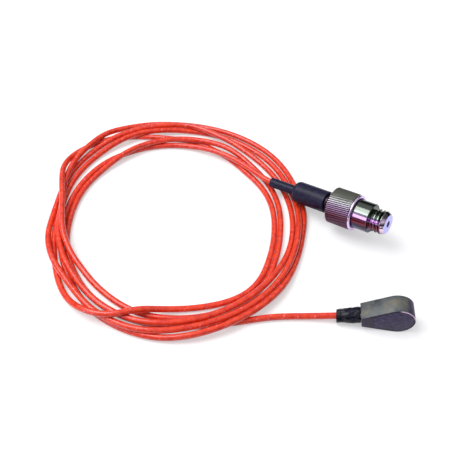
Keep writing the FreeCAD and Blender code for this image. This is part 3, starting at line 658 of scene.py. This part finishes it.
# Bare metal, wiped: darker than the housing, with long smears that lean the way of the hand.
plate_finish, tree, shader = new_material("wiped_dark_metal", "453E52", Roughness=0.42, Metallic=0.45)
place = add(tree, "ShaderNodeTexCoord").outputs["Object"]
streaks = add(tree, "ShaderNodeMapping", {
    "Vector": place, "Scale": (1.0, 1.0, SMEAR_SQUEEZE), "Rotation": (0, SMEAR_LEAN, 0)})
smear = add(tree, "ShaderNodeTexNoise", {
    "Vector": streaks.outputs["Vector"], "Scale": 1 / (SMEAR_SIZE * MM), "Detail": 4.0, "Roughness": 0.65})
tone = add(tree, "ShaderNodeValToRGB", {"Fac": smear.outputs["Fac"]}, stops=[
    (0.36, "1E172C"), (0.5, "30274A"), (0.66, "52466A")])
bump = add(tree, "ShaderNodeBump", {"Height": smear.outputs["Fac"], "Distance": SMEAR_DEPTH * MM})
wire(shader, {"Base Color": tone.outputs["Color"], "Normal": bump.outputs["Normal"]})

finish_piece(block, head_place, housing_finish, BODY, "housing", "sensor_housing")
finish_piece(plate, head_place, plate_finish, BODY, "base_metal", "mounting_base")
print("head finished")

# %% [markdown]
# The boot is a short piece of soft shrink tube that was squeezed down over the cable and
# the metal tube under it. It puckers as it shrinks, so after its rings are drawn it gets
# shallow dents from two sizes of noise.

# %% The boot
TUBE_BORE = 0.64
BOOT_LENGTH = 4.5
BOOT_RINGS = 26
BOOT_START_RADIUS = 1.5
BOOT_END_RADIUS = 1.17
BOOT_TAPER = 1.5
BOOT_PINCH = 0.18
PINCH_LENGTH = 0.25
BOOT_WIDEN = 1.1
BOOT_FOOT = [(-0.05, 0.7), (-0.02, 1.1)]
BOOT_LIP = 0.95
BOOT_TURN_IN = 0.4
BORE_SLOPE = 0.02
DENT_SIZE = 1.3
DENT_DEPTH = 0.38
PUCKER_SIZE = 0.5
PUCKER_DEPTH = 0.12
DENTED_IN = 0.6

stations = list(BOOT_FOOT)
for i in range(BOOT_RINGS + 1):
    share = i / BOOT_RINGS
    along = share * BOOT_LENGTH
    radius = BOOT_START_RADIUS + (BOOT_END_RADIUS - BOOT_START_RADIUS) * share ** BOOT_TAPER
    stations.append((-along, radius - BOOT_PINCH * math.exp(-(along / PINCH_LENGTH) ** 2)))
stations += [
    (-BOOT_LENGTH, BOOT_LIP), (-BOOT_LENGTH, TUBE_BORE),
    (BOOT_TURN_IN - BOOT_LENGTH, TUBE_BORE - BORE_SLOPE),
]
boot = turned("crumpled_boot", stations, around=64, closed=False)
bpy.ops.object.mode_set(mode="EDIT")
bpy.ops.mesh.select_all(action="SELECT")
bpy.ops.transform.resize(value=(1, BOOT_WIDEN, 1), center_override=(0, 0, 0))
bpy.ops.object.mode_set(mode="OBJECT")
for label, size, depth in (("dents", DENT_SIZE, DENT_DEPTH), ("puckers", PUCKER_SIZE, PUCKER_DEPTH)):
    clouds = bpy.data.textures.new(label, "CLOUDS")
    clouds.noise_scale = size * MM
    clouds.noise_depth = 1
    press = boot.modifiers.new(label, "DISPLACE")
    press.texture = clouds
    press.texture_coords = "LOCAL"
    press.strength = depth * MM
    press.mid_level = DENTED_IN
    bpy.ops.object.modifier_apply(modifier=label)

# Crumpled shrink tube: nearly black with a blue cast, and glossy on its creases.
boot_finish = clouded(
    "dark_shrink_tube", "22232F", size=0.45, detail=3.0, depth=0.08,
    stops=[(0.35, "04040E"), (0.55, "090B1C"), (0.75, "171B36")],
    Roughness=0.3, Specular_IOR_Level=0.24)
finish_piece(boot, head_place, boot_finish, BODY, "boot", "strain_relief_boot", angle=60)
print("boot", len(boot.data.polygons))

# %% [markdown]
# At the other end two sleeves of the same kind of tube carry the cable into the metal.
# The large one was drawn in at its rear until it met the small one, so its shoulder is
# round. Both are satin and navy black, and the small one has a slight ripple.

# %% The sleeves
SMALL_RADIUS = 1.05
SMALL_SHOWN = 6.2
SMALL_END = 6.6
SMALL_LIP = [(0.0, 0.95), (0.08, 1.03)]
RIPPLE = 0.02
RIPPLE_START = 0.2
RIPPLE_LENGTH = 5.9
RIPPLE_RINGS = 12
RIPPLE_TURN = 1.7
LARGE_RADIUS = 2.275
LARGE_END = 14.1
LARGE_BORE = 1.88
LARGE_EDGE = 0.12
LARGE_LINING = 1.0
SHOULDER_BORE = 1.1
SHOULDER_INNER = 1.35
SHOULDER_GAP = 0.02
SHOULDER_LENGTH = 0.95
SHOULDER_RISE = 0.92
SHOULDER_STEPS = 8

stations = [(0.0, TUBE_BORE)] + SMALL_LIP
for i in range(RIPPLE_RINGS + 1):
    along = RIPPLE_START + RIPPLE_LENGTH * i / RIPPLE_RINGS
    stations.append((along, SMALL_RADIUS - RIPPLE * math.cos(i * RIPPLE_TURN)))
stations += [(SMALL_END, SMALL_RADIUS), (SMALL_END, TUBE_BORE)]
small_sleeve = turned("small_sleeve", stations, around=48)

stations = [(SMALL_SHOWN, SHOULDER_BORE), (SMALL_SHOWN, SHOULDER_INNER)]
for i in range(SHOULDER_STEPS + 1):
    angle = math.pi / 2 * i / SHOULDER_STEPS
    along = SMALL_SHOWN + SHOULDER_LENGTH * (1 - math.cos(angle)) + SHOULDER_GAP
    stations.append((along, SHOULDER_INNER + SHOULDER_RISE * math.sin(angle)))
stations += [
    (LARGE_END - LARGE_EDGE, LARGE_RADIUS), (LARGE_END, LARGE_RADIUS - LARGE_EDGE),
    (LARGE_END, LARGE_BORE), (LARGE_END - LARGE_LINING, LARGE_BORE),
]
large_sleeve = turned("large_sleeve", stations, around=64)

# Smooth shrink tube: satin and navy black, with a soft wide highlight.
sleeve_finish = clouded(
    "navy_shrink_tube", "2A2940", size=0.8, detail=2.0, depth=0.02,
    stops=[(0.35, "131229"), (0.65, "20203C")], Roughness=0.38, Specular_IOR_Level=0.2)
finish_piece(small_sleeve, connector_place, sleeve_finish, BODY, "shrink_sleeve", "cable_sleeve")
finish_piece(large_sleeve, connector_place, sleeve_finish, BODY, "shrink_sleeve", "ferrule_sleeve")
print("sleeves ready")

# %% [markdown]
# The coupling nut is brass with a nickel plate. Fingers turn it by its knurl, a single set
# of fine slanting ridges. A ring has three points for each ridge, and every third one is
# pulled in. The ring is then extruded along the nut in short steps that each turn a
# little, and that makes every ridge a helix. Plain turned metal closes the knurl at both
# ends, and the nut's rim is rounded.

# %% The coupling nut
NUT_START = 15.0
NUT_RADIUS = 3.75
NUT_BORE = 2.03
THREAD_BORE = 2.463
THREAD_BORE_START = 16.2
THREAD_BORE_END = 20.65
RIM_BORE = 3.1
RIM_END = 21.15
KNURL_TEETH = 50
KNURL_DEPTH = 0.19
KNURL_START = 15.6
KNURL_END = 20.6
KNURL_FOOT = 3.5
KNURL_STEPS = 10
KNURL_LEAN = 33.0
POINTS_PER_TOOTH = 3
NEARLY = 1e-7

under_knurl = NUT_RADIUS - KNURL_DEPTH - 0.02
core = turned("nut_core", [
    # The rear end, with its long chamfer up to the knurl.
    (NUT_START, NUT_BORE), (NUT_START, 2.75), (NUT_START + 0.08, 2.9), (NUT_START + 0.52, 3.42),
    # The plain band that lies under the knurl.
    (NUT_START + 0.65, under_knurl), (KNURL_END + 0.02, under_knurl),
    # The rounded rim, from its outside over to its bore.
    (KNURL_END + 0.06, NUT_RADIUS - 0.12), (KNURL_END + 0.12, NUT_RADIUS - 0.03),
    (KNURL_END + 0.2, NUT_RADIUS), (RIM_END - 0.22, NUT_RADIUS - 0.01),
    (RIM_END - 0.1, NUT_RADIUS - 0.07), (RIM_END - 0.02, NUT_RADIUS - 0.18),
    (RIM_END, NUT_RADIUS - 0.3), (RIM_END - 0.04, RIM_BORE + 0.14),
    (RIM_END - 0.14, RIM_BORE + 0.04), (RIM_END - 0.3, RIM_BORE),
    # Inside, from the mouth back to the stem's bore.
    (THREAD_BORE_END, RIM_BORE), (THREAD_BORE_END, THREAD_BORE),
    (THREAD_BORE_START, THREAD_BORE), (THREAD_BORE_START, NUT_BORE),
], around=96)

knurl = circle("nut_knurl", KNURL_TEETH * POINTS_PER_TOOTH, NUT_RADIUS, (KNURL_START, 0, 0), (0, 90, 0))
edit(knurl, "VERT", lambda v: v.index % POINTS_PER_TOOTH == 0)
valley = (NUT_RADIUS - KNURL_DEPTH) / NUT_RADIUS
bpy.ops.transform.resize(value=(1, valley, valley), center_override=(KNURL_START * MM, 0, 0))
bpy.ops.mesh.select_all(action="SELECT")
run = (KNURL_END - KNURL_START) / KNURL_STEPS
turn = run * math.tan(math.radians(KNURL_LEAN)) / NUT_RADIUS
for step in range(KNURL_STEPS):
    at = (KNURL_START + run * (step + 1)) * MM
    bpy.ops.mesh.extrude_edges_move(TRANSFORM_OT_translate={"value": (run * MM, 0, 0)})
    bpy.ops.transform.rotate(value=turn, orient_axis="X", center_override=(at, 0, 0))
closed_in = KNURL_FOOT / NUT_RADIUS
bpy.ops.mesh.extrude_edges_move()
bpy.ops.transform.resize(value=(1, closed_in, closed_in), center_override=(KNURL_END * MM, 0, 0))
bpy.ops.object.mode_set(mode="OBJECT")
edit(knurl, "VERT", lambda v: v.co.x < KNURL_START * MM + NEARLY)
bpy.ops.mesh.extrude_edges_move()
bpy.ops.transform.resize(value=(1, closed_in, closed_in), center_override=(KNURL_START * MM, 0, 0))
bpy.ops.object.mode_set(mode="OBJECT")
outward(knurl)
print("knurl faces", len(knurl.data.polygons))

# %% [markdown]
# The adaptor screws into the nut and has the same kind of thread again on its nose, for
# what it is screwed into. Its middle is turned smooth and polished. The nose's thread is a
# real helix: a small rhombus is swept round the core with a Screw modifier, one pitch
# forward each turn, and its outer half stands out as the ridge.

# %% The adaptor
ADAPTOR_START = 17.7
ADAPTOR_BORE = 1.45
REAR_THREAD_END = 20.2
MIDDLE_START = 20.75
MIDDLE_END = 24.5
MIDDLE_RADIUS = 3.0
NECK_RADIUS = 1.98
NOSE_START = 25.2
NOSE_THREAD_END = 27.1
NOSE_END = 27.85
NOSE_HOLE = 0.65
NOSE_WALL = 0.6
THREAD_PITCH = 0.794
THREAD_RADIUS = 2.413
THREAD_DEPTH = 0.43
THREAD_TURNS = 2.6
THREAD_LEAD_IN = 0.35
THREAD_FLANK = 0.72
STEPS_PER_TURN = 64

adaptor = turned("adaptor_shell", [
    # The rear part, plain where it sits in the nut, and the groove after it.
    (ADAPTOR_START, ADAPTOR_BORE), (ADAPTOR_START, 2.2), (ADAPTOR_START + 0.2, THREAD_RADIUS),
    (REAR_THREAD_END, THREAD_RADIUS), (REAR_THREAD_END, 2.0), (MIDDLE_START, 2.0),
    # The polished middle, with a small chamfer at each end.
    (MIDDLE_START, MIDDLE_RADIUS - 0.1), (MIDDLE_START + 0.1, MIDDLE_RADIUS),
    (MIDDLE_END - 0.15, MIDDLE_RADIUS), (MIDDLE_END, MIDDLE_RADIUS - 0.15),
    # The neck that the nose's thread winds round, and the land that it ends on.
    (MIDDLE_END, 2.05), (MIDDLE_END + 0.05, NECK_RADIUS), (NOSE_THREAD_END - 0.25, NECK_RADIUS),
    (NOSE_THREAD_END - 0.2, THREAD_RADIUS - 0.02), (NOSE_THREAD_END, THREAD_RADIUS - 0.02),
    # The nose's cone and its end face, with the hole that the contact sits behind.
    (NOSE_END - 0.06, 2.0), (NOSE_END, 1.93), (NOSE_END, NOSE_HOLE + 0.05),
    (NOSE_END - 0.05, NOSE_HOLE), (NOSE_END - NOSE_WALL, NOSE_HOLE),
    (NOSE_END - NOSE_WALL, ADAPTOR_BORE),
], around=96)

thread = circle("nose_thread", 4, THREAD_DEPTH, (0, 0, 0), (90, 0, 0))
thread_start = ((NOSE_START - THREAD_LEAD_IN) * MM, 0, (THREAD_RADIUS - THREAD_DEPTH) * MM)
bpy.ops.object.mode_set(mode="EDIT")
bpy.ops.mesh.select_all(action="SELECT")
bpy.ops.transform.resize(value=(THREAD_FLANK, 1, 1), center_override=(0, 0, 0))
bpy.ops.transform.translate(value=thread_start)
bpy.ops.object.mode_set(mode="OBJECT")
winding = thread.modifiers.new("winding", "SCREW")
winding.axis = "X"
winding.angle = math.tau * THREAD_TURNS
winding.screw_offset = THREAD_PITCH * THREAD_TURNS * MM
winding.steps = round(STEPS_PER_TURN * THREAD_TURNS)
winding.render_steps = winding.steps
bpy.ops.object.modifier_apply(modifier="winding")
outward(thread)
bpy.ops.object.mode_set(mode="EDIT")
bpy.ops.mesh.select_all(action="SELECT")
bpy.ops.mesh.fill_holes(sides=4)
bpy.ops.object.mode_set(mode="OBJECT")
print("thread faces", len(thread.data.polygons))

# %% [markdown]
# Nickel plate on turned brass is a warm, slightly mauve mirror. Its colour is painted
# reflection, in bands from the side that faces up in the view to the side that faces down.
# On the smooth parts it keeps faint tool lines, and on the knurl the valleys are painted
# darker as painted shade.

# %% The connector's metals
TOOL_LINE = 0.06
TOOL_DEPTH = 0.001
METALS_MIDDLE = 20.5
# Share of the colour left at the bottom of the knurl's valleys, a painted shade.
VALLEY_SHADE = 0.18
CREST_SHARE = 0.7

connector_start = connector_place.to_translation()
sight = CONNECTOR_START + connector_axis * METALS_MIDDLE - Vector(CAMERA_PLACE)
across = connector_axis.cross(sight).normalized()


def share_along(tree, direction, low, high):
    """How far a point lies between low and high mm from the connector's start, along a direction."""
    place = add(tree, "ShaderNodeTexCoord").outputs["Object"]
    offset = add(tree, "ShaderNodeVectorMath", {0: place, 1: connector_start}, operation="SUBTRACT")
    reach = add(tree, "ShaderNodeVectorMath", {0: offset.outputs[0], 1: direction},
                operation="DOT_PRODUCT")
    return add(tree, "ShaderNodeMapRange", {
        "Value": reach.outputs["Value"], "From Min": low * MM, "From Max": high * MM}).outputs["Result"]


def turned_metal(name, roughness, radius, stops):
    """Plated metal with painted reflection bands across the turned piece, and faint tool lines."""
    material, tree, shader = new_material(name, "A8A2AC", Metallic=1.0, Roughness=roughness)
    tone = add(tree, "ShaderNodeValToRGB", {"Fac": share_along(tree, across, -radius, radius)}, stops)
    lines = add(tree, "ShaderNodeTexNoise", {
        "W": share_along(tree, connector_axis, 0, TOOL_LINE), "Scale": 1.0, "Detail": 2.0},
        noise_dimensions="1D")
    bump = add(tree, "ShaderNodeBump", {"Height": lines.outputs["Fac"], "Distance": TOOL_DEPTH * MM})
    wire(shader, {"Base Color": tone.outputs["Color"], "Normal": bump.outputs["Normal"]})
    return material, tree, shader, tone.outputs["Color"]


# Polished nickel: painted reflections, in hard-edged dark, grey green, lilac and burgundy bands.
nickel, tree, shader, tone = turned_metal("polished_nickel", roughness=0.14, radius=MIDDLE_RADIUS, stops=[
    (0.0, "50506A"), (0.13, "3A3444"), (0.2, "743A48"), (0.29, "6A3E4E"), (0.32, "3A2C3A"),
    (0.35, "CCA4D4"), (0.46, "CCB0D8"), (0.5, "80868A"), (0.56, "6E7672"), (0.6, "5C625C"),
    (0.85, "545A54"), (1.0, "2A2A28")])
# Painted reflection: the nose's cone is pale below and dark on top, and its end face a flat lilac.
on_cone = share_along(tree, connector_axis, NOSE_THREAD_END + 0.05, NOSE_THREAD_END + 0.1)
painted_cone_reflection = add(tree, "ShaderNodeValToRGB", {
    "Fac": share_along(tree, across, -THREAD_RADIUS, THREAD_RADIUS)}, stops=[
    (0.0, "8A7C98"), (0.2, "F0D8EE"), (0.5, "DCBCDC"), (0.68, "4A4450"), (1.0, "2A282C")])
cone = add(tree, "ShaderNodeMix", {"Factor": on_cone, "A": tone, "B": painted_cone_reflection.outputs["Color"]},
           data_type="RGBA")
on_face = share_along(tree, connector_axis, NOSE_END - 0.04, NOSE_END - 0.02)
face = add(tree, "ShaderNodeMix", {
    "Factor": on_face, "A": cone.outputs["Result"], "B": colour("B4B2F4")}, data_type="RGBA")
wire(shader, {"Base Color": face.outputs["Result"]})

# Nickel on the nut's plain ends: painted reflection bands across the nut, dark at the rear, and a painted
# lilac highlight at the rim.
nut_nickel, tree, shader, tone = turned_metal("nut_nickel", roughness=0.2, radius=NUT_RADIUS, stops=[
    (0.0, "B8A8CC"), (0.3, "CCB0DC"), (0.6, "C4BCCC"), (0.85, "8C8C94"), (1.0, "4A4A4C")])
past_rear = share_along(tree, connector_axis, KNURL_START, KNURL_START + 0.1)
dark_rear = add(tree, "ShaderNodeMix", {"Factor": past_rear, "A": colour("30242A"), "B": tone},
                data_type="RGBA")
# Painted highlight: the rounded rim is a bright lilac all round.
on_rim = share_along(tree, connector_axis, KNURL_END + 0.08, KNURL_END + 0.12)
painted_rim_highlight = add(tree, "ShaderNodeMix", {
    "Factor": on_rim, "A": dark_rear.outputs["Result"], "B": colour("DCC4EE")}, data_type="RGBA")
wire(shader, {"Base Color": painted_rim_highlight.outputs["Result"]})

# Knurled nickel: the ridges break up the mirror into a soft sheen; its colour is painted reflection in
# bands, and the valleys are painted darker as painted shade.
knurled, tree, shader, tone = turned_metal("knurled_nickel", roughness=0.4, radius=NUT_RADIUS, stops=[
    (0.0, "5A4058"), (0.2, "8A6078"), (0.38, "B094B2"), (0.5, "A498AC"), (0.62, "8E8E92"),
    (0.8, "8A8C84"), (0.92, "6A6A62"), (1.0, "3A3A34")])
place = add(tree, "ShaderNodeTexCoord").outputs["Object"]
offset = add(tree, "ShaderNodeVectorMath", {0: place, 1: connector_start}, operation="SUBTRACT")
round_it = add(tree, "ShaderNodeVectorMath", {0: offset.outputs[0], 1: connector_axis},
               operation="CROSS_PRODUCT")
from_centre = add(tree, "ShaderNodeVectorMath", {0: round_it.outputs[0]}, operation="LENGTH")
# Painted shade: the colour darkens from the ridges' crests down into the valleys.
painted_valley_shade = add(tree, "ShaderNodeMapRange", {
    "Value": from_centre.outputs["Value"], "From Min": (NUT_RADIUS - KNURL_DEPTH) * MM,
    "From Max": (NUT_RADIUS - KNURL_DEPTH * (1 - CREST_SHARE)) * MM, "To Min": VALLEY_SHADE})
shaded_valleys = add(tree, "ShaderNodeVectorMath", {0: tone, "Scale": painted_valley_shade.outputs["Result"]}, operation="SCALE")
wire(shader, {"Base Color": shaded_valleys.outputs[0]})

finish_piece(core, connector_place, nut_nickel, NUT, "nickel", "coupling_nut")
finish_piece(knurl, connector_place, knurled, NUT, "nickel", angle=20)
finish_piece(adaptor, connector_place, nickel, ADAPTOR, "nickel", "adaptor_body")
finish_piece(thread, connector_place, nickel, ADAPTOR, "nickel")
print("connector finished")

# %% [markdown]
# The pieces that need no more shape than the solids have keep it, and only get a finish:
# the crimp and the plug's stem in the nut's nickel, the contacts in gold, the insulation in
# white, and the small sealed parts inside the head.

# %% Finishes for the solids that stay
def dress(material, *nodes):
    """Gives this finish to solids that are shown as they are."""
    for node in nodes:
        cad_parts[node].data.materials.clear()
        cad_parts[node].data.materials.append(material)
    print(material.name, len(nodes))


dress(nut_nickel, "crimp_ferrule", "plug_body")
dress(plate_finish, "shear_post")
# Thin gold over nickel: a warm bright mirror.
gold = new_material("gold_plate", "D9A94E", Metallic=1.0, Roughness=0.22)[0]
dress(gold, "plug_pin", "adaptor_contact", "core_terminal", "core_wire")
# Turned fluoropolymer: white with a waxy shine.
white = new_material("white_insulation", "E6E3DC", Roughness=0.4)[0]
dress(white, "plug_insulator", "adaptor_rear_bead", "adaptor_front_bead",
      "dielectric_tail", "bias_resistor")
# Turned steel: a plain grey shine.
steel = new_material("plain_steel", "A5A3A6", Metallic=1.0, Roughness=0.3)[0]
dress(steel, "cable_ferrule", "preload_ring")
# Sintered tungsten alloy: darker and duller than steel.
heavy = new_material("heavy_alloy", "59585C", Metallic=1.0, Roughness=0.35)[0]
dress(heavy, "seismic_mass")
# Fired ceramic: cream and matt.
ceramic = new_material("fired_ceramic", "D8D0B4", Roughness=0.55)[0]
dress(ceramic, "crystal_ring")
# Solder mask on glass fibre board: dark green with a slight shine.
board = new_material("green_board", "1D5A2E", Roughness=0.4)[0]
dress(board, "amplifier_board")
# Moulded epoxy: black and matt.
chip = new_material("black_epoxy", "101012", Roughness=0.5)[0]
dress(chip, "amplifier_chip")
# Moulded rubber: dark brown grey with no shine.
rubber = new_material("dark_rubber", "2C2927", Roughness=0.7)[0]
dress(rubber, "sealing_washer")

# %% [markdown]
# Last, the connector's solids and the pieces made for it are gathered in one list.

# %% The connector's pieces
connector_nodes = [
    "cable_sleeve", "ferrule_sleeve", "crimp_ferrule", "plug_body", "plug_insulator", "plug_pin",
    "sealing_washer", "coupling_nut", "adaptor_body", "adaptor_rear_bead", "adaptor_front_bead",
    "adaptor_contact",
]
connector_pieces = [small_sleeve, large_sleeve, core, knurl, adaptor, thread]
connector_pieces += [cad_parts[name] for name in connector_nodes]
